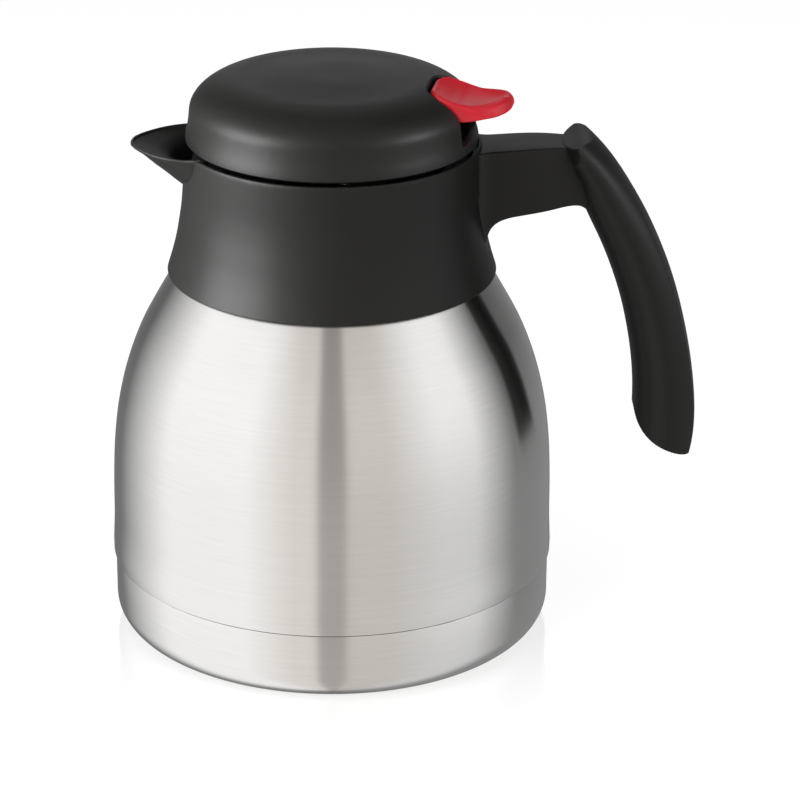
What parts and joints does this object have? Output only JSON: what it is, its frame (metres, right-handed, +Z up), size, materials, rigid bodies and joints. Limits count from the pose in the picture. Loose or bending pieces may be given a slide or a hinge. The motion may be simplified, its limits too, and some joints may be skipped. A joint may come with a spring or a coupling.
{
  "type": "thermal carafe",
  "caption": "Vacuum-insulated steel carafe with a black collar, pouring spout, side handle and twist-in lid with a red thumb lever.",
  "frame": {"origin": "centre of the foot ring, on the body's axis, at the surface that the carafe stands on", "axes": "+Z up along the body's axis, +X towards the handle, -X towards the spout"},
  "size_m": [0.1789, 0.1356, 0.1744],
  "materials": {
    "body_steel": "brushed round the body, satin",
    "inner_steel": "plain bright steel",
    "seal_metal": "dull",
    "black_plastic": "fine satin moulded surface",
    "red_plastic": "semi-gloss moulded surface",
    "silicone": "translucent white silicone",
    "hardware": "plain stainless"
  },
  "bodies": {
    "flask": {"outer_shell": "body_steel", "base_cup": "body_steel", "outer_bottom": "inner_steel", "vacuum_seal": "seal_metal", "inner_liner": "inner_steel", "getter": "seal_metal", "collar": "black_plastic", "neck_ring": "black_plastic", "neck_gasket": "silicone", "grip_front": "black_plastic", "grip_back": "black_plastic", "handle_screws": "hardware"},
    "gasket": {"plug_gasket": "silicone"},
    "lid": {"lid_dome": "black_plastic", "lid_plug": "black_plastic", "lid_screws": "hardware", "lever_pin": "hardware", "valve_spring": "hardware"},
    "lever": {"thumb_lever": "red_plastic"},
    "valve": {"valve_rod": "hardware", "rod_head": "black_plastic", "valve_disc": "black_plastic", "valve_seal": "silicone"}
  },
  "joints": [
    {"name": "lid_rise", "type": "slide", "parent": "flask", "child": "gasket", "axis": [0, 0, 1], "range_m": [0, 0.0061]},
    {"name": "lid_turn", "type": "hinge", "parent": "gasket", "child": "lid", "pos_m": [0, 0, 0.1543], "axis": [0, 0, 1], "range_deg": [0, 120]},
    {"name": "lever_press", "type": "hinge", "parent": "lid", "child": "lever", "pos_m": [0.03239, -0.0063, 0.1608], "axis": [0.1908, 0.9816, 0], "range_deg": [0, 10.5], "stiffness_Nm_per_rad": 0.3, "springref_deg": -28.65},
    {"name": "valve_lift", "type": "slide", "parent": "lid", "child": "valve", "axis": [0, 0, 1], "range_m": [0, 0.0061], "deforming": ["valve_spring"]}
  ],
  "couplings": [
    {"joint": "lid_rise", "follows": "lid_turn", "m_per_rad": 0.0028648},
    {"joint": "valve_lift", "follows": "lever_press", "m_per_rad": 0.033}
  ]
}
